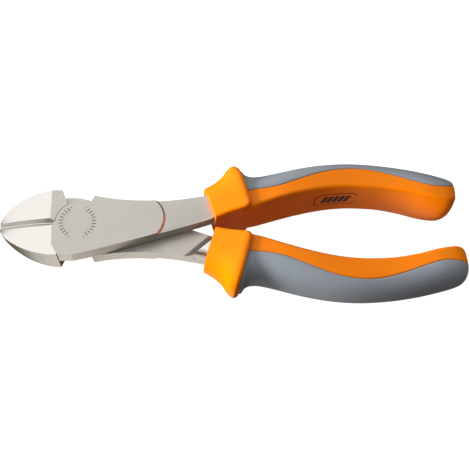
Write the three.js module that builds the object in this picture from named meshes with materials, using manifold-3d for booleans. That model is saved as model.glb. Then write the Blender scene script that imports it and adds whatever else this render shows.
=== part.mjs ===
// Diagonal cutting pliers, 180 mm, lap joint. Millimetres, +Z up.
// The pivot axis is the Z axis, the joint's rear face is at z = 0 and the handles point along +X.
// The front half carries the handle on the +Y side and the jaw on the -Y side; the rear half the others.
import * as THREE from "three";
import { mergeVertices } from "three/addons/utils/BufferGeometryUtils.js";
import Module from "manifold-3d";

const JOINT_HALF = 6; // half of the joint's thickness
const LAP_GAP = 0.15; // each lap's distance from the mid plane
const EDGE_GAP = 0.15; // each cutting edge's distance from the closing line
const BOSS_R = 8.3;
const BOSS_SEAT_R = 8.5;
const NOTCH_START = 68.5; // degrees round the boss where the stop shoulder begins
const MILLED_DEPTH = 1; // the shank lies this much lower than the milled joint face
const MILLED_R = 10.1;
const MILLED_SLOPE = 0.8; // how far the step runs out for each mm down
const MILLED_X = 21.9;
const MILLED_Y = 2.2;
const TANG_FRONT = 5;
const TANG_REAR = -4.6;
const TANG_ROUND = 2.2; // rounding of the tang's long edges
const STEP_MIDDLE = [44.6, 6.65]; // of the step from the rear of the lap to the tang
const STEP_TURN = 48.4; // degrees
const STEP_FILLET_R = 5.52;
const PIN_R = 3.5;
const PIN_HEAD_R = 4.5;
const PIN_HEAD = 1;
const PIN_CLEAR = 0.15;
const FIT = 0.3; // clearance between the pieces of a handle
const PAD_THICK = 2;
const RIDGE_R = 1.1; // rounding along the grip's inner edges
const FACE_SHARE = 0.38; // share of the grip's width that is flat
const ROUND_POWER = 2.3; // superellipse power of the grip's outer side
const PLAQUE_LENGTH = 18;
const PLAQUE_HEIGHT = 9;
const PLAQUE_SUNK = 0.8;
const PLAQUE_PROUD = 0.2;
const PLAQUE_X = 100.4;
const PLAQUE_Y = 14.6;
const PLAQUE_TURN = 0.1; // radians
const BARS = 5;
const BAR_PITCH = 2.3;
const BAR_HALF = 2.2;

const wasm = await Module();
wasm.setup();

// A closed geometry as a solid for the booleans.
function solid(geometry) {
  const bare = new THREE.BufferGeometry();
  bare.setAttribute("position", geometry.getAttribute("position"));
  bare.setIndex(geometry.index);
  const merged = mergeVertices(bare, 1e-4);
  const made = new wasm.Mesh({
    numProp: 3,
    vertProperties: merged.attributes.position.array,
    triVerts: new Uint32Array(merged.index.array),
  });
  return new wasm.Manifold(made);
}

// A solid as a named mesh.
function meshOf(made, name, material) {
  const { vertProperties, triVerts } = made.getMesh();
  const geometry = new THREE.BufferGeometry();
  geometry.setAttribute("position", new THREE.BufferAttribute(vertProperties, 3));
  geometry.setIndex(new THREE.BufferAttribute(triVerts, 1));
  const mesh = new THREE.Mesh(geometry, material);
  mesh.name = name;
  return mesh;
}

// A flat outline raised from z0 to z1.
function plate(shape, z0, z1, segments = 20) {
  const geometry = new THREE.ExtrudeGeometry(shape, {
    depth: z1 - z0,
    bevelEnabled: false,
    curveSegments: segments,
  });
  geometry.translate(0, 0, z0);
  return solid(geometry);
}

// An upright cylinder.
function cylinder(radius, z0, z1, x = 0, y = 0) {
  const geometry = new THREE.CylinderGeometry(radius, radius, z1 - z0, 60);
  geometry.rotateX(Math.PI / 2);
  geometry.translate(x, y, (z0 + z1) / 2);
  return solid(geometry);
}

// A closed skin over rings of equal length, capped at both ends. Rings run so that the faces point out.
function skin(rings, capAround = null) {
  const n = rings[0].length;
  const position = [];
  const index = [];
  rings.forEach((ring) => ring.forEach((p) => position.push(p.x, p.y, p.z)));
  for (let r = 0; r + 1 < rings.length; r++)
    for (let i = 0; i < n; i++) {
      const a = r * n + i;
      const b = r * n + ((i + 1) % n);
      index.push(a, b, a + n, b, b + n, a + n);
    }
  const flat = capAround ?? rings[0].map((p) => new THREE.Vector2(p.y, p.z));
  const cap = THREE.ShapeUtils.triangulateShape(flat, []);
  const last = (rings.length - 1) * n;
  const turned = THREE.ShapeUtils.isClockWise(flat);
  cap.forEach(([a, b, c]) => {
    const [p, q] = turned ? [b, c] : [c, b];
    index.push(a, p, q);
    index.push(last + a, last + q, last + p);
  });
  const geometry = new THREE.BufferGeometry();
  geometry.setAttribute("position", new THREE.Float32BufferAttribute(position, 3));
  geometry.setIndex(index);
  const made = solid(geometry);
  if (made.volume() > 0) return made;
  const back = [];
  for (let i = 0; i < index.length; i += 3) back.push(index[i], index[i + 2], index[i + 1]);
  geometry.setIndex(back);
  return solid(geometry);
}

// Rows of numbers filled in between with a smooth curve, `steps` to each span.
function smooth(rows, steps) {
  const out = [];
  const spans = rows.length - 1;
  const at = (i, c) => rows[Math.min(Math.max(i, 0), spans)][c];
  for (let i = 0; i < spans; i++)
    for (let s = 0; s < steps; s++) {
      const t = s / steps;
      out.push(
        rows[i].map((_, c) => {
          const [a, b, d, e] = [at(i - 1, c), at(i, c), at(i + 1, c), at(i + 2, c)];
          const near = 2 * b + (d - a) * t;
          const far = (2 * a - 5 * b + 4 * d - e) * t * t + (3 * b - a - 3 * d + e) * t * t * t;
          return (near + far) / 2;
        }),
      );
    }
  out.push(rows[spans]);
  return out;
}

// The ground face of each jaw: a row is a cut across it from the cutting edge outwards, with x at the
// edge and at the back, half width, z at the back, at the edge and on its narrow facet, and the
// facet's width. The rear half's face reaches less far along its back.
const GRIND_TIP = [
  [-30, -30, 1.7, 0.7, 0, 0.25, 1],
  [-29.1, -29.2, 2.8, 1.4, 0.2, 0.6, 1.3],
  [-27, -27, 5.4, 2.8, 0.8, 1.3, 1.4],
  [-24, -24, 7.9, 3.9, 1.9, 2.4, 1.5],
  [-20.5, -20.2, 10.3, 4.9, 2.9, 3.4, 1.5],
  [-17, -16.5, 11.9, 5.5, 3.7, 4.3, 1.5],
];
const FRONT_GRIND = [
  ...GRIND_TIP,
  [-13.5, -11.8, 13, 5.9, 4.3, 5.1, 1.5],
  [-9.8, -6.4, 13.5, 6, 4.7, 5.95, 1.4],
  [-9.1, -5.7, 13.5, 6.05, 5.6, 6.05, 1],
  [-2.5, -1, 13.5, 6.05, 6.05, 6.05, 1],
];
const REAR_GRIND = [
  ...GRIND_TIP,
  [-13.5, -13.6, 13, 5.75, 4.3, 5.1, 1.5],
  [-10.2, -10.7, 13.5, 6, 4.7, 5.95, 1.4],
  [-9.4, -9.9, 13.5, 6.05, 5.6, 6.05, 1],
  [-2.5, -2.5, 13.5, 6.05, 6.05, 6.05, 1],
];
// The hollow behind the cutting edges: x at the edge and at the back, half width, z at the back and
// at the edge, and the hollow's width.
const HOLLOW = [
  [-30, -30, 1.7, -0.7, -0.4, 1.2],
  [-29.1, -29.2, 2.8, -0.9, -0.2, 1.5],
  [-27, -27, 5.4, -1.4, 0.4, 2],
  [-24, -24, 7.9, -2.5, 1.5, 2.8],
  [-20.5, -20.2, 10.3, -3.6, 2.5, 3.9],
  [-17, -16.4, 11.9, -4.5, 3.3, 5],
  [-13.5, -12.2, 13, -5.3, 3.9, 6],
  [-9.9, -7.2, 13.5, -6, 4.3, 6.8],
  [-8.7, -6, 13.5, -6.05, 5.2, 6.8],
  [-2.5, -2.5, 13.5, -6.05, 5.2, 6.8],
];
const OVERRUN = 1.15; // the ground faces run on past the jaw's back, which trims them
const ROOT_HOLE_R = 0.55; // relief at the root of the cutting edges
const ROOT_HOLE_X = -9;

// A solid between a surface drawn through the rows' three points and z = to.
function between(rows, to, points) {
  const rings = smooth(rows, 2).map((row) => {
    const [[xe, ye, ze], [xm, ym, zm], [xb, yb, zb]] = points(row);
    const x = xe + (xb - xe) * OVERRUN;
    const y = yb * OVERRUN;
    const z = zm + ((zb - zm) * (y - ym)) / (yb - ym);
    return [
      [xe, ye, ze],
      [xm, ym, zm],
      [x, y, z],
      [x, y, to],
      [xe, ye, to],
    ].map((p) => new THREE.Vector3(...p));
  });
  return skin(rings);
}

// One jaw: its outline, ground in front and hollowed behind to the cutting edge. The cutting edge
// leans to +Z where side is 1 and to -Z where it is -1.
function jaw(side) {
  const shape = new THREE.Shape();
  shape.moveTo(-30, -EDGE_GAP);
  shape.lineTo(-30, -1.7);
  shape.splineThru(
    [
      [-29.2, -2.9],
      [-27, -5.5],
      [-24, -8],
      [-20.3, -10.3],
      [-16.5, -12],
      [-12.5, -13.1],
      [-10, -13.5],
    ].map(([x, y]) => new THREE.Vector2(x, y)),
  );
  shape.lineTo(-6.7, -13.5);
  shape.lineTo(-4.5, -8.1);
  shape.lineTo(-2.6, -EDGE_GAP);
  const front = between(
    side > 0 ? FRONT_GRIND : REAR_GRIND,
    -8,
    ([xe, xb, half, top, edge, facet, width]) => [
      [xe, -EDGE_GAP, edge],
      [xe + ((xb - xe) * width) / half, -width, facet],
      [xb, -half, top],
    ],
  );
  const behind = between(HOLLOW, 8, ([xe, xb, half, rear, edge, width]) => [
    [xe, -EDGE_GAP, edge],
    [xe + ((xb - xe) * width) / half, -width, Math.max(rear - 0.25, -JOINT_HALF - 0.05)],
    [xb, -half, rear],
  ]);
  const made = front.intersect(behind);
  return (side > 0 ? made : made.mirror([0, 0, 1])).intersect(plate(shape, -6, 6, 24));
}

// The lap and the shank on the +Z side of the mid plane.
function lap() {
  const shape = new THREE.Shape();
  shape.moveTo(-BOSS_R, -EDGE_GAP);
  shape.absarc(0, 0, BOSS_R, Math.PI, THREE.MathUtils.degToRad(NOTCH_START), true);
  shape.lineTo(4.1, 8.3);
  shape.lineTo(5.6, 11.4);
  shape.bezierCurveTo(15, 9.3, 28, 8.2, 47.5, 12.4);
  shape.lineTo(49.6, 12.95);
  shape.lineTo(51.5, 3.2);
  shape.lineTo(49.7, 2.2);
  shape.quadraticCurveTo(30, -4.6, 6.9, -11.4);
  shape.quadraticCurveTo(2.5, -12.7, -1.2, -13.5);
  shape.lineTo(-6.3, -13.5);
  shape.lineTo(-8.6, -5);
  shape.lineTo(-8.6, -EDGE_GAP);
  return plate(shape, LAP_GAP, JOINT_HALF);
}

// The tang: each row is a cut across it, x and y on its inner side and on its outer side.
const TANG_ROWS = [
  [49.5, 2.3, 39.7, 11],
  [52.5, 3.5, 46.5, 12.2],
  [60, 6.6, 59, 15.4],
  [76, 12.9, 75.6, 20.1],
  [95, 17.9, 95, 23.6],
  [108, 19.8, 108.2, 24.2],
  [113, 20.9, 113.1, 23.4],
];

// The tang with its long edges rounded, grown on every side by `grow`.
function tang(grow) {
  const rings = smooth(TANG_ROWS, 3).map(([xi, yi, xo, yo]) => {
    const width = Math.hypot(xo - xi, yo - yi);
    const r = Math.min(TANG_ROUND, 0.4 * width) + grow;
    const corners = [
      [width + grow - r, TANG_REAR - grow + r, 270],
      [width + grow - r, TANG_FRONT + grow - r, 0],
      [r - grow, TANG_FRONT + grow - r, 90],
      [r - grow, TANG_REAR - grow + r, 180],
    ];
    return corners.flatMap(([a, z, start]) =>
      [0, 30, 60, 90].map((more) => {
        const t = THREE.MathUtils.degToRad(start + more);
        const along = (a + r * Math.cos(t)) / width;
        return new THREE.Vector3(
          xi + (xo - xi) * along,
          yi + (yo - yi) * along,
          z + r * Math.sin(t),
        );
      }),
    );
  });
  return skin(rings);
}

// Hollows the step at the tang's root.
function stepFillet() {
  const turn = THREE.MathUtils.degToRad(STEP_TURN);
  const [x, y] = STEP_MIDDLE;
  return wasm.Manifold.cylinder(40, STEP_FILLET_R, STEP_FILLET_R, 72, true)
    .rotate([90, 0, 0])
    .rotate([0, 0, STEP_TURN])
    .translate([x - 2 * Math.cos(turn), y - 2 * Math.sin(turn), -5]);
}

// One forged half in its own frame: lap on the +Z side, handle on the +Y side, jaw on the -Y side.
// `side` is 1 where the cutting edge leans to the lap's own face and -1 where it leans away.
function forging(side) {
  const low = wasm.Manifold.cube([60, 60, MILLED_DEPTH + 1], true)
    .translate([MILLED_X + 30, 0, JOINT_HALF - MILLED_DEPTH + (MILLED_DEPTH + 1) / 2])
    .subtract(
      wasm.Manifold.cylinder(4, MILLED_R + 2 * MILLED_SLOPE, MILLED_R - 2 * MILLED_SLOPE, 96)
        .translate([MILLED_X, MILLED_Y, JOINT_HALF - 2]),
    );
  return jaw(side)
    .subtract(cylinder(BOSS_SEAT_R, -9, LAP_GAP))
    .subtract(cylinder(ROOT_HOLE_R, -9, 9, ROOT_HOLE_X, 0))
    .add(lap().subtract(low).subtract(cylinder(ROOT_HOLE_R, -9, 9, ROOT_HOLE_X, 0)))
    .add(tang(0).subtract(stepFillet()))
    .subtract(pin(PIN_CLEAR));
}

// The pivot pin with its two countersunk heads, grown by `grow`.
function pin(grow) {
  const end = JOINT_HALF + (grow ? 1 : 0);
  const profile = [
    [0, -end],
    [PIN_HEAD_R + grow, -end],
    [PIN_HEAD_R + grow, -JOINT_HALF],
    [PIN_R + grow, PIN_HEAD - JOINT_HALF],
    [PIN_R + grow, JOINT_HALF - PIN_HEAD],
    [PIN_HEAD_R + grow, JOINT_HALF],
    [PIN_HEAD_R + grow, end],
    [0, end],
  ].filter((p, i, all) => i === 0 || p[0] !== all[i - 1][0] || p[1] !== all[i - 1][1]);
  const geometry = new THREE.LatheGeometry(
    profile.map(([r, z]) => new THREE.Vector2(r, z)),
    48,
  );
  geometry.rotateX(Math.PI / 2);
  const made = solid(geometry);
  if (made.volume() > 0) return made;
  return solid(geometry.scale(1, 1, -1));
}

// The grip: each row is a cut across it: inner x and y, outer x and y, half thickness, belly of the
// inner wall, and y of the seam between hard sleeve and soft pad.
const GRIP_ROWS = [
  [62.6, 4.7, 57.4, 24.0, 9.5, 0, 12.7],
  [66.1, 5.7, 61.0, 25.6, 9.6, 0, 12.8],
  [67.4, 6.1, 63.0, 23.3, 9.8, 0, 12.9],
  [69.2, 6.7, 65.6, 22.1, 10.1, 0, 13.2],
  [72.2, 7.8, 69.7, 22.2, 10.4, 0, 13.6],
  [78.0, 9.8, 76.4, 23.7, 10.7, 0, 15.0],
  [86.0, 12.1, 85.4, 26.1, 10.6, 0, 18.3],
  [95.0, 14.0, 95.4, 28.0, 10.2, 0, 21.8],
  [104.0, 15.0, 105.0, 28.8, 9.8, 0, 23.4],
  [112.0, 15.0, 113.2, 28.6, 9.6, 0.1, 23.1],
  [120.0, 14.4, 121.2, 27.8, 9.6, 0.2, 21.2],
  [128.0, 13.0, 129.0, 26.5, 9.9, 0.6, 18.6],
  [135.0, 11.2, 135.9, 24.9, 10.2, 1.2, 16.4],
  [140.3, 10.1, 141.2, 23.5, 10.0, 1.8, 15.7],
  [143.8, 9.8, 144.7, 22.4, 9.5, 1.9, 15.9],
  [146.0, 10.5, 146.8, 21.4, 8.4, 1.6, 16.7],
  [147.3, 12.1, 147.7, 20.0, 6.0, 1.0, 17.4],
  [147.8, 14.2, 147.9, 18.4, 2.8, 0.3, 16.7],
];
const COLLAR_ROWS = [
  [52.0, 1.8, 47.5, 17.1, 7.8, 0, 0],
  [55.0, 2.8, 50.8, 19.0, 8.7, 0, 0],
  [58.4, 3.8, 54.0, 21.8, 9.7, 0, 0],
  [61.6, 4.5, 56.3, 25.2, 10.7, 0, 0],
  [63.6, 5.0, 57.7, 26.6, 11.3, 0, 0],
  [64.8, 5.6, 59.1, 27.0, 11.4, 0, 0],
  [65.5, 6.6, 60.3, 26.2, 11.1, 0, 0],
];
const PAD_FIRST = 1; // the row where the pad begins
const PAD_LAST = 15; // the row where it ends

// Height of the grip's surface at the distance a from its inner edge.
function rise(a, width, half) {
  const start = FACE_SHARE * width;
  if (a <= start) return half;
  const share = Math.min((a - start) / (width - start), 1);
  return half * Math.pow(1 - Math.pow(share, ROUND_POWER), 1 / ROUND_POWER);
}

// Points over the top of a cut from distance a0 to the outer edge, closer together towards it.
function over(a0, width, half, count) {
  const points = [];
  for (let i = 0; i <= count; i++) {
    const a = a0 + (width - a0) * Math.sin(((i / count) * Math.PI) / 2);
    points.push([a, i === count ? 0 : rise(a, width, half)]);
  }
  return points;
}

// A closed ring from its upper half, placed in the plane through the row's inner and outer points.
function ring(row, upper) {
  const [xi, yi, xo, yo] = row;
  const width = Math.hypot(xo - xi, yo - yi);
  const lower = upper.slice(0, -1).reverse();
  const both = upper.concat(lower.map(([a, z]) => [a, -z]));
  return both.map(
    ([a, z]) => new THREE.Vector3(xi + ((xo - xi) * a) / width, yi + ((yo - yi) * a) / width, z),
  );
}

// The outside of the grip or of its collar.
function envelope(rows, steps) {
  const rings = smooth(rows, steps).map((row) => {
    const [xi, yi, xo, yo, half, belly] = row;
    const width = Math.hypot(xo - xi, yo - yi);
    const r = Math.min(RIDGE_R, 0.3 * half, 0.2 * width);
    const wall = half - r;
    const upper = [0.25, 0.5, 0.75].map((s) => [-belly * (1 - s * s), s * wall]);
    [0, 30, 60, 90].forEach((d) => {
      const t = THREE.MathUtils.degToRad(d);
      upper.push([r - r * Math.cos(t), wall + r * Math.sin(t)]);
    });
    upper.push(...over(FACE_SHARE * width, width, half, 7));
    return ring(row, upper);
  });
  return skin(rings);
}

// The pad's shell: from the seam outwards and `thick` deep. `swell` grows it past the grip's surface
// and `slack` moves its edge towards the inner side.
function shell(thick, swell, slack, steps) {
  const rows = smooth(GRIP_ROWS.slice(PAD_FIRST, PAD_LAST + 1), steps);
  const rings = rows.map((row) => {
    const [xi, yi, xo, yo, half, , seam] = row;
    const width = Math.hypot(xo - xi, yo - yi);
    const start = ((seam - yi) / (yo - yi)) * width - slack;
    const outer = over(start, width, half, 8).map(([a, z]) => {
      const out = (a / width) ** 4;
      return [a + swell * out, z + (z ? swell : 0)];
    });
    const inner = over(start, width - thick, half - thick, 8);
    const shape = outer.concat(outer.slice(0, -1).reverse().map(([a, z]) => [a, -z]));
    const back = inner.map(([a, z]) => [a, -z]);
    const close = inner.slice(0, -1).reverse();
    return shape.concat(back, close).map(
      ([a, z]) => new THREE.Vector3(xi + ((xo - xi) * a) / width, yi + ((yo - yi) * a) / width, z),
    );
  });
  return skin(rings);
}

// The plaque's outline in its own plane, smaller by `inset` on every side.
function plaqueShape(inset) {
  const w = PLAQUE_LENGTH / 2 - inset;
  const h = PLAQUE_HEIGHT / 2 - inset;
  const r = 2 - inset;
  const shape = new THREE.Shape();
  shape.moveTo(-w + r, -h);
  shape.lineTo(w - r, -h);
  shape.absarc(w - r, -h + r, r, -Math.PI / 2, 0, false);
  shape.lineTo(w, h - r);
  shape.absarc(w - r, h - r, r, 0, Math.PI / 2, false);
  shape.lineTo(-w + r, h);
  shape.absarc(-w + r, h - r, r, Math.PI / 2, Math.PI, false);
  shape.lineTo(-w, -h + r);
  shape.absarc(-w + r, -h + r, r, Math.PI, 1.5 * Math.PI, false);
  return shape;
}

// The layer of the grip's inner wall under a flat shape, `deep` below its surface and `proud` of it.
function layer(shapes, deep, proud) {
  const wall = envelope(GRIP_ROWS, 2);
  const prism = wasm.Manifold.union(shapes.map((shape) => plate(shape, -4, 4, 5)))
    .rotate([90, 0, 0])
    .rotate([0, 0, THREE.MathUtils.radToDeg(PLAQUE_TURN)])
    .translate([PLAQUE_X, PLAQUE_Y, 0]);
  return prism.intersect(wall.translate([0, -proud, 0])).subtract(wall.translate([0, deep, 0]));
}

// The plaque let into the grip's inner wall: a thin plate with plain slanted bars on it.
function plaque() {
  const bars = [];
  for (let i = 0; i < BARS; i++) {
    const x = (i - (BARS - 1) / 2) * BAR_PITCH;
    const bar = new THREE.Shape();
    bar.moveTo(x - 1.3, -BAR_HALF);
    bar.lineTo(x + 0.1, -BAR_HALF);
    bar.lineTo(x + 1.3, BAR_HALF);
    bar.lineTo(x - 0.1, BAR_HALF);
    bars.push(bar);
  }
  return layer([plaqueShape(FIT)], PLAQUE_SUNK - FIT, 0).add(layer(bars, 0.2, PLAQUE_PROUD));
}

// Room in the collar's mouth for the end of the shank.
function mouth() {
  const shape = new THREE.Shape();
  [
    [44, -1],
    [51.8, 2.8],
    [49.9, 13.3],
    [44, 13],
  ].forEach(([x, y], i) => (i ? shape.lineTo(x, y) : shape.moveTo(x, y)));
  return plate(shape, LAP_GAP - FIT, JOINT_HALF - MILLED_DEPTH + FIT);
}

function gripBody() {
  return envelope(COLLAR_ROWS, 3)
    .add(envelope(GRIP_ROWS, 2).subtract(shell(PAD_THICK + FIT, 3, 0.15, 2)))
    .subtract(tang(FIT))
    .subtract(mouth())
    .subtract(layer([plaqueShape(0)], PLAQUE_SUNK, 3));
}

function gripPad() {
  const clear = envelope(COLLAR_ROWS, 3).translate([FIT * 0.8, FIT * 0.2, 0]);
  return shell(PAD_THICK, 0, -0.15, 2).subtract(clear);
}

const steel = new THREE.MeshStandardMaterial({ color: 0xc8c4be, metalness: 1, roughness: 0.35 });
const orange = new THREE.MeshStandardMaterial({ color: 0xf07a14, roughness: 0.4 });
const grey = new THREE.MeshStandardMaterial({ color: 0x7d838c, roughness: 0.7 });
const dark = new THREE.MeshStandardMaterial({ color: 0x2a1a14, roughness: 0.6 });

const pliers = new THREE.Group();
pliers.name = "diagonal_cutting_pliers";
const turnedOver = (made) => made.rotate([180, 0, 0]);

pliers.add(meshOf(forging(1), "front_half", steel));
pliers.add(meshOf(turnedOver(forging(-1)), "rear_half", steel));
pliers.add(meshOf(pin(0), "pivot_rivet", steel));
pliers.add(meshOf(gripBody(), "front_grip_body", orange));
pliers.add(meshOf(gripPad(), "front_grip_pad", grey));
pliers.add(meshOf(plaque(), "front_grip_plaque", dark));
pliers.add(meshOf(turnedOver(gripBody()), "rear_grip_body", orange));
pliers.add(meshOf(turnedOver(gripPad()), "rear_grip_pad", grey));
pliers.add(meshOf(turnedOver(plaque()), "rear_grip_plaque", dark));
pliers.children.forEach((mesh) => mesh.position.setZ(JOINT_HALF));

export default pliers;
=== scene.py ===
"""Diagonal cutting pliers of the 180 mm class: forged lap-joint halves with satin nickel-chrome
plating and ground jaws, and hard plastic grips with a soft rubber pad moulded over their outer
side."""

import math

import bmesh
import bpy
from mathutils import Matrix, Vector


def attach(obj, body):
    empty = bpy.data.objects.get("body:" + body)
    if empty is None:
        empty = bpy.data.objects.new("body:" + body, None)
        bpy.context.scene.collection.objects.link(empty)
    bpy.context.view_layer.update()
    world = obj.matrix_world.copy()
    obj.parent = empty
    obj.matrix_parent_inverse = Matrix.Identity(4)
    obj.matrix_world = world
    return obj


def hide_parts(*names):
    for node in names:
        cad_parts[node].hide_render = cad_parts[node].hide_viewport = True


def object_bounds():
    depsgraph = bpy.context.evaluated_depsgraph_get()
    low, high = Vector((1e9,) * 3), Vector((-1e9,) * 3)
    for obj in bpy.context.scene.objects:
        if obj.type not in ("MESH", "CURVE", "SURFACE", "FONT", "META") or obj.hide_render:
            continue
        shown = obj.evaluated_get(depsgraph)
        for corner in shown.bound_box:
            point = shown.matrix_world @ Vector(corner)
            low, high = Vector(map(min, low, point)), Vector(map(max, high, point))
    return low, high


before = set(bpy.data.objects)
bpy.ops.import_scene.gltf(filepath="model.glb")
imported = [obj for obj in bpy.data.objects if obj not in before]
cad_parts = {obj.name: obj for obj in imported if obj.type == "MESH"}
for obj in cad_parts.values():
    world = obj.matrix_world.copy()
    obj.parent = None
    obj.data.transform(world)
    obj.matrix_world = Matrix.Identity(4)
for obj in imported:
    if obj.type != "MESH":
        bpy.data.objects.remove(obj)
cad_low, cad_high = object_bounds()

MM = 0.001
JOINT_HALF = 6.0  # half of the joint's thickness; the mid plane is that far above the rear face
EDGE_BREAK = 0.2  # width of the forgings' broken edges
FACETS_END = -9.2  # the honed facets lie before this x
FACETS_HALF = 1.15  # and within this y of the cutting line
FACE_SHARE = 0.38  # share of the grip's width that is flat
ROUND_POWER = 2.3  # superellipse power of the grip's outer side
SEAM = 0.45  # depth of the body under the pad
PLAQUE_X = 100.4  # middle of the inlaid panel
GROOVE_SIZE = (17.4, 8.6, 2.5)  # length, height and corner radius
PANEL_SIZE = (16.4, 7.6, 2.1)
BARS = 5
BAR_PITCH = 2.3
WHEEL = (37.7, 6.9, 48.5)  # the round edge of the ground jaw faces: its centre and radius
RIVET_HEAD = 4.62
RIVET_SHANK = 3.5
TICK_PITCH = math.radians(12)
TICK_HALF = 0.19  # half of a tick's width
TICK_RADIUS = 6.2  # of the ring's middle
TICK_REACH = 0.8  # of a tick from the ring's middle, in and out
TICK_GAP = 2.6  # no ticks nearer than this to the pivot, measured along x
TICK_FLOOR = 11.9  # ticks only above this height over the rear face
# Each glow of the tent: the way it lies, and the cosines between which it grows to full.
TENT = ((-0.5, 0.4, 0.77), 0.35, 0.88)
HORIZON = ((0, 0, 1), -0.1, 0.05)
PATCH = ((-0.2, -0.45, -0.87), 0.88, 0.99)
TENT_DARK = (0.16, 0.16, 0.17, 1)
TENT_BRIGHT = (1.2, 1.19, 1.18, 1)
GROUND_DARK = (0.15, 0.115, 0.075, 1)
GROUND_PATCH = (1.4, 1.36, 1.3, 1)
KEY = ((-0.75, -0.06, 0.17), (0.35, 0.25), 15.5)  # its place, size and power
KEY_AIM = (0.06, 0.0, 0.0)
FLOOR_GLOW = 0.95
FLOOR_GAP = 0.0005  # between the part and the floor
CAMERA_PLACE = (0.0440, -0.1130, 0.2353)
CAMERA_TURN = (25.855, -3.427, -0.973)  # degrees
CAMERA_LENS = 50.37
CAMERA_SENSOR = 36

# Cuts across the grip: inner x and y, outer x and y, half thickness, belly of the inner wall, and
# y of the seam between sleeve and pad, in millimetres from the pivot axis and the mid plane.
GRIP_ROWS = [
    (62.6, 4.7, 57.4, 24.0, 9.5, 0, 12.7),
    (66.1, 5.7, 61.0, 25.6, 9.6, 0, 12.8),
    (67.4, 6.1, 63.0, 23.3, 9.8, 0, 12.9),
    (69.2, 6.7, 65.6, 22.1, 10.1, 0, 13.2),
    (72.2, 7.8, 69.7, 22.2, 10.4, 0, 13.6),
    (78.0, 9.8, 76.4, 23.7, 10.7, 0, 15.0),
    (86.0, 12.1, 85.4, 26.1, 10.6, 0, 18.3),
    (95.0, 14.0, 95.4, 28.0, 10.2, 0, 21.8),
    (104.0, 15.0, 105.0, 28.8, 9.8, 0, 23.4),
    (112.0, 15.0, 113.2, 28.6, 9.6, 0.1, 23.1),
    (120.0, 14.4, 121.2, 27.8, 9.6, 0.2, 21.2),
    (128.0, 13.0, 129.0, 26.5, 9.9, 0.6, 18.6),
    (135.0, 11.2, 135.9, 24.9, 10.2, 1.2, 16.4),
    (140.3, 10.1, 141.2, 23.5, 10.0, 1.8, 15.8),
    (143.8, 9.8, 144.7, 22.4, 9.5, 1.9, 16.2),
    (146.0, 10.5, 146.8, 21.4, 8.4, 1.6, 17.2),
    (147.3, 12.1, 147.7, 20.0, 6.0, 1.0, 18.6),
    (147.8, 14.2, 147.9, 18.4, 2.8, 0.3, 18.0),
]
COLLAR_ROWS = [
    (52.0, 1.8, 47.5, 17.1, 7.8, 0, 0),
    (55.0, 2.8, 50.8, 19.0, 8.7, 0, 0),
    (58.4, 3.8, 54.0, 21.8, 9.7, 0, 0),
    (61.6, 4.5, 56.3, 25.2, 10.7, 0, 0),
    (63.6, 5.0, 57.7, 26.6, 11.3, 0, 0),
    (64.8, 5.6, 59.1, 27.0, 11.4, 0, 0),
    (65.5, 6.6, 60.3, 26.2, 11.1, 0, 0),
]
PAD_STATIONS = slice(3, 97)  # of the sleeve's smoothed cuts


# Materials


def colour(hexa, alpha=1.0):
    """An sRGB hex colour as linear RGBA."""
    parts = [int(hexa[i : i + 2], 16) / 255 for i in (0, 2, 4)]
    lin = [p / 12.92 if p <= 0.04045 else ((p + 0.055) / 1.055) ** 2.4 for p in parts]
    return (*lin, alpha)


def put(tree, kind, inputs=None, **settings):
    """Adds a node. An input is a value, a node whose first output feeds it, or an output."""
    made = tree.nodes.new(kind)
    for name, value in settings.items():
        setattr(made, name, value)
    for name, value in (inputs or {}).items():
        if isinstance(value, bpy.types.Node):
            value = value.outputs[0]
        if isinstance(value, bpy.types.NodeSocket):
            tree.links.new(value, made.inputs[name])
        else:
            made.inputs[name].default_value = value
    return made


def start(name):
    """A new material with its tree, its shader and its object coordinates."""
    made = bpy.data.materials.new(name)
    made.use_nodes = True
    tree = made.node_tree
    shader = next(n for n in tree.nodes if n.type == "BSDF_PRINCIPLED")
    place = put(tree, "ShaderNodeTexCoord").outputs["Object"]
    return made, tree, shader, place


def tick_ring(tree, place):
    """1 on the engraved ticks round the pivot, 0 elsewhere: a tick every 12 degrees, 0.38 mm wide,
    from 5.4 to 7.0 mm out, in two arcs left and right of the pivot on the joint's front face."""
    math_node = "ShaderNodeMath"
    x, y, z = put(tree, "ShaderNodeSeparateXYZ", {"Vector": place}).outputs
    flat = put(tree, "ShaderNodeCombineXYZ", {"X": x, "Y": y})
    radius = put(tree, "ShaderNodeVectorMath", {0: flat}, operation="LENGTH").outputs["Value"]
    turn = put(tree, math_node, {0: y, 1: x}, operation="ARCTAN2")
    off = put(tree, math_node, {0: turn, 1: 0.0, 2: TICK_PITCH}, operation="WRAP")
    middle = put(tree, math_node, {0: off, 1: TICK_PITCH / 2}, operation="SUBTRACT")
    angle = put(tree, math_node, {0: middle}, operation="ABSOLUTE")
    aside = put(tree, math_node, {0: angle, 1: radius}, operation="MULTIPLY")
    beside = put(tree, math_node, {0: x}, operation="ABSOLUTE")
    reach = {0: radius, 1: TICK_RADIUS * MM, 2: TICK_REACH * MM}
    tests = (
        put(tree, math_node, {0: aside, 1: TICK_HALF * MM}, operation="LESS_THAN"),
        put(tree, math_node, reach, operation="COMPARE"),
        put(tree, math_node, {0: beside, 1: TICK_GAP * MM}, operation="GREATER_THAN"),
        put(tree, math_node, {0: z, 1: TICK_FLOOR * MM}, operation="GREATER_THAN"),
    )
    mark = tests[0]
    for test in tests[1:]:
        mark = put(tree, math_node, {0: mark, 1: test}, operation="MULTIPLY")
    return mark


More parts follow.
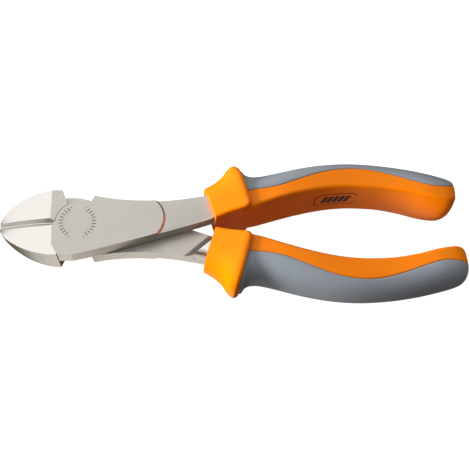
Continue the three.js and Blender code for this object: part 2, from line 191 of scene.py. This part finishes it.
def satin_nickel_chrome():
    """Drop-forged tool steel, bead-blasted and plated: an even pale grey with a soft broad shine.
    The joint's front face carries a ring of fine engraved ticks round the pivot."""
    made, tree, shader, place = start("satin_nickel_chrome")
    shader.inputs["Metallic"].default_value = 1.0
    tick = tick_ring(tree, place)
    # blasting grain of about 0.15 mm, drawn at 0.4 mm so that it shows
    grain = put(tree, "ShaderNodeTexNoise", {"Vector": place, "Scale": 2500, "Detail": 3})
    cloud = put(tree, "ShaderNodeTexNoise", {"Vector": place, "Scale": 160, "Detail": 2})
    tone = put(
        tree, "ShaderNodeMix", {"Factor": grain, 6: colour("b2aea7"), 7: colour("d3cfc8")},
        data_type="RGBA",
    )
    inked = put(tree, "ShaderNodeMath", {0: tick, 1: 0.8}, operation="MULTIPLY")
    marked = put(
        tree, "ShaderNodeMix", {"Factor": inked, 6: tone.outputs[2], 7: colour("5f564d")},
        data_type="RGBA",
    )
    tree.links.new(marked.outputs[2], shader.inputs["Base Color"])
    rough = put(tree, "ShaderNodeMapRange", {"Value": cloud, "To Min": 0.38, "To Max": 0.46})
    tree.links.new(rough.outputs[0], shader.inputs["Roughness"])
    depth = put(tree, "ShaderNodeMath", {0: grain, 1: 0.3, 2: tick}, operation="MULTIPLY_ADD")
    bump = put(
        tree, "ShaderNodeBump", {"Strength": 0.4, "Distance": 0.0001, "Height": depth}, invert=True
    )
    tree.links.new(bump.outputs[0], shader.inputs["Normal"])
    return made


def ground_steel():
    """The jaws' ground faces: bright plated steel with faint wheel lines across the jaw."""
    made, tree, shader, place = start("ground_steel")
    shader.inputs["Metallic"].default_value = 1.0
    # wheel lines 0.1 mm apart, drawn at 0.25 mm, that run across the jaw
    across = put(tree, "ShaderNodeMapping", {"Vector": place, "Scale": (1, 0.08, 0.08)})
    lines = put(tree, "ShaderNodeTexNoise", {"Vector": across, "Scale": 4000, "Detail": 2})
    tone = put(
        tree, "ShaderNodeMix", {"Factor": lines, 6: colour("dfdad6"), 7: colour("e9e4e1")},
        data_type="RGBA",
    )
    tree.links.new(tone.outputs[2], shader.inputs["Base Color"])
    rough = put(tree, "ShaderNodeMapRange", {"Value": lines, "To Min": 0.2, "To Max": 0.3})
    tree.links.new(rough.outputs[0], shader.inputs["Roughness"])
    bump = put(tree, "ShaderNodeBump", {"Strength": 0.05, "Distance": 0.0001, "Height": lines})
    tree.links.new(bump.outputs[0], shader.inputs["Normal"])
    return made


def honed_steel():
    """The narrow facets honed on the cutting edges after grinding: greyer and softer than the
    ground faces, with lines along the edge."""
    made, tree, shader, place = start("honed_edge_steel")
    shader.inputs["Metallic"].default_value = 1.0
    along = put(tree, "ShaderNodeMapping", {"Vector": place, "Scale": (0.1, 1, 1)})
    lines = put(tree, "ShaderNodeTexNoise", {"Vector": along, "Scale": 3500, "Detail": 2})
    tone = put(
        tree, "ShaderNodeMix", {"Factor": lines, 6: colour("b8b4ab"), 7: colour("d6d2c9")},
        data_type="RGBA",
    )
    tree.links.new(tone.outputs[2], shader.inputs["Base Color"])
    rough = put(tree, "ShaderNodeMapRange", {"Value": lines, "To Min": 0.5, "To Max": 0.62})
    tree.links.new(rough.outputs[0], shader.inputs["Roughness"])
    bump = put(tree, "ShaderNodeBump", {"Strength": 0.2, "Distance": 0.0001, "Height": lines})
    tree.links.new(bump.outputs[0], shader.inputs["Normal"])
    return made


def moulded(name, low, high, rough, pebble, depth, specular=0.5):
    """Injection-moulded plastic: an even body colour with a slight flow mottle and the fine
    spark-eroded texture of the mould, `pebble` millimetres across."""
    made, tree, shader, place = start(name)
    flow = put(tree, "ShaderNodeTexNoise", {"Vector": place, "Scale": 70, "Detail": 3})
    tone = put(
        tree,
        "ShaderNodeMix",
        {"Factor": flow.outputs["Fac"], 6: colour(low), 7: colour(high)},
        data_type="RGBA",
    )
    tree.links.new(tone.outputs[2], shader.inputs["Base Color"])
    skin = put(tree, "ShaderNodeTexNoise", {"Vector": place, "Scale": 1000 / pebble, "Detail": 2})
    spread = put(
        tree,
        "ShaderNodeMapRange",
        {"Value": skin.outputs["Fac"], "To Min": rough - 0.05, "To Max": rough + 0.06},
    )
    tree.links.new(spread.outputs[0], shader.inputs["Roughness"])
    bump = put(
        tree,
        "ShaderNodeBump",
        {"Strength": 0.3, "Distance": depth * MM, "Height": skin.outputs["Fac"]},
    )
    tree.links.new(bump.outputs[0], shader.inputs["Normal"])
    shader.inputs["Specular IOR Level"].default_value = specular
    return made


STEEL = satin_nickel_chrome()
FACET = honed_steel()
GROUND_STEEL = ground_steel()
SLEEVE = moulded("orange_hard_plastic", "ee7a00", "f48202", 0.42, 0.5, 0.03, 0.15)
PAD = moulded("grey_soft_rubber", "858b92", "8f959c", 0.6, 0.4, 0.06, 0.3)
GROOVE = moulded("dark_red_groove", "5e1a08", "681e0a", 0.5, 0.5, 0.02)
INK = moulded("black_inlay", "1a0f0c", "20130f", 0.45, 0.4, 0.02)


# Shapes, in millimetres about the pivot axis and the mid plane


def smooth_rows(rows, steps):
    """Rows of numbers filled in between with a smooth curve, `steps` to each span."""
    out = []
    for i in range(len(rows) - 1):
        a, b, c, d = (rows[min(max(i + k, 0), len(rows) - 1)] for k in (-1, 0, 1, 2))
        for s in range(steps):
            t = s / steps
            out.append(
                [
                    0.5
                    * (
                        2 * q
                        + (r - p) * t
                        + (2 * p - 5 * q + 4 * r - s4) * t * t
                        + (3 * q - p - 3 * r + s4) * t**3
                    )
                    for p, q, r, s4 in zip(a, b, c, d)
                ]
            )
    out.append(list(rows[-1]))
    return out


def rise(a, width, half):
    """Height of the grip's surface at the distance a from its inner edge."""
    flat = FACE_SHARE * width
    if a <= flat:
        return half
    share = min((a - flat) / (width - flat), 1.0)
    return half * max(1 - share**ROUND_POWER, 0) ** (1 / ROUND_POWER)


def place_cut(row, points):
    """Points (distance from the inner edge, height) of a cut, put in the row's plane."""
    xi, yi, xo, yo = row[:4]
    width = math.hypot(xo - xi, yo - yi)
    return [
        Vector((xi + (xo - xi) * a / width, yi + (yo - yi) * a / width, z)) for a, z in points
    ]


def mirrored(upper):
    """A closed cut from its upper half, whose last point is on the mid plane."""
    return upper + [(a, -z) for a, z in reversed(upper[:-1])]


def sleeve_cut(row, seam_drop):
    """The hard sleeve's cut; past the seam it lies `seam_drop` deeper, under the pad."""
    xi, yi, xo, yo, half, belly, seam_y = row
    width = math.hypot(xo - xi, yo - yi)
    r = min(1.3, 0.3 * half, 0.2 * width)
    wall = half - r
    upper = [(-belly * (1 - s * s), s * wall) for s in (0.12, 0.37, 0.62, 0.85)]
    for degrees in (0, 15, 30, 45, 60, 75, 90):
        t = math.radians(degrees)
        upper.append((r - r * math.cos(t), wall + r * math.sin(t)))
    seam = (seam_y - yi) / (yo - yi) * width if seam_drop else FACE_SHARE * width
    for k in range(1, 7):
        a = r + (seam - 0.3 - r) * k / 6
        upper.append((a, rise(a, width, half)))
    for k in range(0, 13):
        a = seam + (width - seam) * math.sin(k / 12 * math.pi / 2)
        drop = seam_drop
        inset_w = width - drop
        a = seam + (a - seam) * (inset_w - seam) / (width - seam)
        z = 0.0 if k == 12 else rise(a * width / inset_w, width, half) * (half - drop) / half
        upper.append((a, z))
    return place_cut(row, mirrored(upper))


def pad_cut(row):
    """The soft pad's cut: a shell over the sleeve's outer side with rounded edges at the seam."""
    xi, yi, xo, yo, half, _, seam_y = row
    width = math.hypot(xo - xi, yo - yi)
    seam = (seam_y - yi) / (yo - yi) * width
    outer = []
    for a, dip in ((seam, 0.42), (seam + 0.05, 0.2), (seam + 0.16, 0.06)):
        outer.append((a, rise(a, width, half) - dip))
    for k in range(0, 15):
        a = seam + 0.34 + (width - seam - 0.34) * math.sin(k / 14 * math.pi / 2)
        outer.append((a, 0.0 if k == 14 else rise(a, width, half)))
    deep = min(1.4, 0.5 * (width - seam))
    inner = []
    for k in range(0, 9):
        a = seam + (width - deep - seam) * math.sin(k / 8 * math.pi / 2)
        z = 0.0 if k == 8 else rise(a * width / (width - deep), width, half) * (half - deep) / half
        inner.append((a, z))
    ring = mirrored(outer) + [(a, -z) for a, z in inner] + list(reversed(inner[:-1]))
    return place_cut(row, ring)


def loft(bm, rings):
    """Draws the first ring out through the others and closes both ends."""
    verts = bmesh.ops.create_circle(bm, segments=len(rings[0]), radius=1)["verts"]
    for vert, point in zip(verts, rings[0]):
        vert.co = point
    for points in rings[1:]:
        edges = [bm.edges.get((a, b)) for a, b in zip(verts, verts[1:] + verts[:1])]
        drawn = bmesh.ops.extrude_edge_only(bm, edges=edges)["geom"]
        new = {g for g in drawn if isinstance(g, bmesh.types.BMVert)}
        verts = [
            next(e.other_vert(v) for e in v.link_edges if e.other_vert(v) in new) for v in verts
        ]
        for vert, point in zip(verts, points):
            vert.co = point
    bmesh.ops.holes_fill(bm, edges=[e for e in bm.edges if e.is_boundary], sides=0)


def turned_over(bm):
    """Turns a piece over, from the front half's side to the rear half's."""
    bmesh.ops.rotate(bm, cent=(0, 0, 0), matrix=Matrix.Rotation(math.pi, 3, "X"), verts=bm.verts)


def finish_piece(name, bm, body, stands_for, materials, angle=35):
    """Lifts, scales and names a piece, hangs it on its body and hides the part it stands for."""
    bmesh.ops.translate(bm, vec=(0, 0, JOINT_HALF), verts=bm.verts)
    bmesh.ops.scale(bm, vec=(MM, MM, MM), verts=bm.verts)
    mesh = bpy.data.meshes.new(name)
    bm.to_mesh(mesh)
    bm.free()
    for material in materials:
        mesh.materials.append(material)
    piece = bpy.data.objects.new(name, mesh)
    bpy.context.scene.collection.objects.link(piece)
    mesh.shade_smooth()
    mesh.set_sharp_from_angle(angle=math.radians(angle))
    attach(piece, body)
    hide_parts(stands_for)
    return piece


def grip_sleeve():
    bm = bmesh.new()
    loft(bm, [sleeve_cut(row, 0.0) for row in smooth_rows(COLLAR_ROWS, 5)])
    loft(bm, [sleeve_cut(row, SEAM) for row in smooth_rows(GRIP_ROWS, 6)])
    bmesh.ops.recalc_face_normals(bm, faces=bm.faces)
    return bm


def grip_pad():
    bm = bmesh.new()
    loft(bm, [pad_cut(row) for row in smooth_rows(GRIP_ROWS, 6)[PAD_STATIONS]])
    bmesh.ops.recalc_face_normals(bm, faces=bm.faces)
    return bm


def wall_at(x):
    """y of the grip's inner wall at x."""
    rows = smooth_rows(GRIP_ROWS, 6)
    for low, high in zip(rows, rows[1:]):
        if low[0] <= x <= high[0]:
            return low[1] + (high[1] - low[1]) * (x - low[0]) / (high[0] - low[0])
    return rows[-1][1]


def inlaid(parts):
    """Flat pieces laid on the grip's inner wall and bent to it. Each part is a bmesh in its own
    plane and the number of its material."""
    bm = bmesh.new()
    for part, index in parts:
        bmesh.ops.recalc_face_normals(part, faces=part.faces)
        for face in part.faces:
            face.material_index = index
        mesh = bpy.data.meshes.new("inlaid_part")
        part.to_mesh(mesh)
        part.free()
        bm.from_mesh(mesh)
        bpy.data.meshes.remove(mesh)
    for step in range(-6, 7):
        bmesh.ops.bisect_plane(
            bm, geom=[*bm.verts, *bm.edges, *bm.faces], plane_co=(step * 1.5, 0, 0),
            plane_no=(1, 0, 0),
        )
    upright = Matrix.Rotation(math.pi / 2, 3, "X")
    bmesh.ops.rotate(bm, cent=(0, 0, 0), matrix=upright, verts=bm.verts)
    bmesh.ops.translate(bm, vec=(PLAQUE_X, 0, 0), verts=bm.verts)
    for vert in bm.verts:
        vert.co.y += wall_at(vert.co.x)
    return bm


def slab(corners, top, depth, radius=0):
    """A flat slab on straight-sided corners, its face at z = top, its own corners rounded."""
    bm = bmesh.new()
    face = bm.faces.new([bm.verts.new((x, y, top)) for x, y in corners])
    if radius:
        bmesh.ops.bevel(
            bm, geom=list(face.verts), offset=radius, segments=8, profile=0.5, material=-1,
            affect="VERTICES",
        )
    drawn = bmesh.ops.extrude_face_region(bm, geom=list(bm.faces))["geom"]
    down = [g for g in drawn if isinstance(g, bmesh.types.BMVert)]
    bmesh.ops.translate(bm, vec=(0, 0, -depth), verts=down)
    return bm


def oblong(length, height):
    """The corners of an upright rectangle about the origin."""
    x, y = length / 2, height / 2
    return [(-x, -y), (x, -y), (x, y), (-x, y)]


def plaque():
    """An inlaid panel: a groove round it, and plain slanted bars printed on it."""
    parts = []
    for index, (size, top) in enumerate(((GROOVE_SIZE, 0.05), (PANEL_SIZE, 0.1))):
        length, height, corner = size
        parts.append((slab(oblong(length, height), top, 0.5, corner), index))
    for i in range(BARS):
        x = (i - (BARS - 1) / 2) * BAR_PITCH
        leaning = [(x - 1.4, -2.2), (x + 0.2, -2.2), (x + 1.4, 2.2), (x - 0.2, 2.2)]
        parts.append((slab(leaning, 0.2, 0.3), 2))
    return inlaid(parts)


def is_ground(face):
    """Whether a face was left by the wheel that cut the jaws' outer faces, front and back."""
    x, y, z = face.calc_center_median()
    away = math.hypot(x - WHEEL[0], y * math.copysign(1, z) - WHEEL[1])
    return away > WHEEL[2] and abs(face.normal.z) > 0.4


def forged_half(node):
    """A copy of the forging with its faces joined, and its jaw's honed facets and ground faces
    marked with their materials."""
    bm = bmesh.new()
    bm.from_mesh(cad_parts[node].data)
    bmesh.ops.scale(bm, vec=(1 / MM,) * 3, verts=bm.verts)
    bmesh.ops.translate(bm, vec=(0, 0, -JOINT_HALF), verts=bm.verts)
    bmesh.ops.remove_doubles(bm, verts=bm.verts, dist=0.002)
    bmesh.ops.dissolve_limit(
        bm, angle_limit=math.radians(0.6), verts=bm.verts, edges=bm.edges, delimit={"NORMAL"}
    )
    for face in bm.faces:
        centre = face.calc_center_median()
        facing_up = face.normal.z > 0.5
        if centre.x < FACETS_END and facing_up and abs(centre.y) < FACETS_HALF:
            face.material_index = 1
        elif is_ground(face):
            face.material_index = 2
    return bm


def broken_edges(piece, width):
    """Breaks a forging's edges the way tumbling and blasting leave them."""
    bevel = piece.modifiers.new("broken_edges", "BEVEL")
    bevel.width = width * MM
    bevel.segments = 2
    bevel.limit_method = "ANGLE"
    bevel.angle_limit = math.radians(28)
    bevel.harden_normals = True
    bevel.use_clamp_overlap = True


for side in ("front", "rear"):
    half = finish_piece(
        side + "_forging", forged_half(side + "_half"), side, side + "_half",
        [STEEL, FACET, GROUND_STEEL], 24,
    )
    broken_edges(half, EDGE_BREAK)
    for name, make, stands_for, slot, materials in (
        ("sleeve", grip_sleeve, "_grip_body", "sleeve", [SLEEVE]),
        ("pad", grip_pad, "_grip_pad", "pad", [PAD]),
        ("inlay", plaque, "_grip_plaque", "plaque", [GROOVE, SLEEVE, INK]),
    ):
        bm = make()
        if side == "rear":
            turned_over(bm)
        finish_piece(side + "_" + name, bm, side, side + stands_for, materials)


def rivet():
    """The joint's rivet with its two heads ground flush."""
    bm = bmesh.new()
    upper = [(RIVET_HEAD, JOINT_HALF), (RIVET_HEAD, 5.95), (RIVET_SHANK, 5.0)]
    outline = upper + [(r, -z) for r, z in reversed(upper)]
    verts = [bm.verts.new((r, 0, z)) for r, z in [(0, JOINT_HALF), *outline, (0, -JOINT_HALF)]]
    edges = [bm.edges.new(pair) for pair in zip(verts, verts[1:])]
    bmesh.ops.spin(
        bm, geom=verts + edges, cent=(0, 0, 0), axis=(0, 0, 1), angle=2 * math.pi, steps=64,
        use_merge=True,
    )
    bmesh.ops.remove_doubles(bm, verts=bm.verts, dist=0.001)
    bmesh.ops.recalc_face_normals(bm, faces=bm.faces)
    return bm


finish_piece("joint_rivet", rivet(), "rear", "pivot_rivet", [STEEL], 30)


# Floor, light and camera


def floor():
    """A plain pale floor just under the part. It glows a little to stay white in shadow, and lends
    the part no light or reflection, which come from the tent instead."""
    bm = bmesh.new()
    bmesh.ops.create_grid(bm, x_segments=1, y_segments=1, size=3)
    mesh = bpy.data.meshes.new("floor")
    bm.to_mesh(mesh)
    bm.free()
    made, tree, shader, _ = start("pale_floor")
    shader.inputs["Base Color"].default_value = colour("a0a0a0")
    shader.inputs["Roughness"].default_value = 0.9
    shader.inputs["Emission Color"].default_value = (1, 1, 1, 1)
    shader.inputs["Emission Strength"].default_value = FLOOR_GLOW
    mesh.materials.append(made)
    piece = bpy.data.objects.new("floor", mesh)
    piece.visible_diffuse = False
    piece.visible_glossy = False
    bpy.context.scene.collection.objects.link(piece)
    piece.location.z = cad_low.z - FLOOR_GAP


def soft_box(name, place, aim, size, power):
    """A broad lamp, hidden from reflections so that it does not burn out the ground steel."""
    data = bpy.data.lights.new(name, "AREA")
    data.shape = "RECTANGLE"
    data.size, data.size_y = size
    data.energy = power
    lamp = bpy.data.objects.new(name, data)
    lamp.visible_glossy = False
    bpy.context.scene.collection.objects.link(lamp)
    lamp.location = place
    lamp.rotation_euler = (Vector(aim) - Vector(place)).to_track_quat("-Z", "Y").to_euler()


def studio():
    """A pale tent, brightest up and to the left, dark and warm below but for one pale patch, and
    one broad low key from the left."""
    world = bpy.data.worlds.new("studio")
    world.use_nodes = True
    tree = world.node_tree
    way = put(tree, "ShaderNodeTexCoord").outputs["Generated"]
    glows = []
    for side, start_at, end_at in (TENT, HORIZON, PATCH):
        along = put(
            tree, "ShaderNodeVectorMath", {0: way, 1: Vector(side).normalized()},
            operation="DOT_PRODUCT",
        ).outputs["Value"]
        glows.append(
            put(
                tree, "ShaderNodeMapRange",
                {"Value": along, "From Min": start_at, "From Max": end_at},
                interpolation_type="SMOOTHSTEP",
            )
        )
    sky = put(
        tree, "ShaderNodeMix", {"Factor": glows[0], 6: TENT_DARK, 7: TENT_BRIGHT}, data_type="RGBA"
    )
    below = put(
        tree, "ShaderNodeMix", {"Factor": glows[2], 6: GROUND_DARK, 7: GROUND_PATCH},
        data_type="RGBA",
    )
    whole = put(
        tree, "ShaderNodeMix", {"Factor": glows[1], 6: below.outputs[2], 7: sky.outputs[2]},
        data_type="RGBA",
    )
    tree.links.new(whole.outputs[2], tree.nodes["Background"].inputs["Color"])
    tree.nodes["Background"].inputs["Strength"].default_value = 1.0
    bpy.context.scene.world = world
    place, size, power = KEY
    soft_box("key", place, KEY_AIM, size, power)


def camera():
    data = bpy.data.cameras.new("camera")
    data.lens = CAMERA_LENS
    data.sensor_width = CAMERA_SENSOR
    made = bpy.data.objects.new("camera", data)
    bpy.context.scene.collection.objects.link(made)
    made.location = CAMERA_PLACE
    made.rotation_euler = [math.radians(d) for d in CAMERA_TURN]
    data.clip_start = 0.01
    bpy.context.scene.camera = made


floor()
studio()
camera()
bpy.context.scene.view_settings.view_transform = "Standard"

bpy.context.view_layer.update()
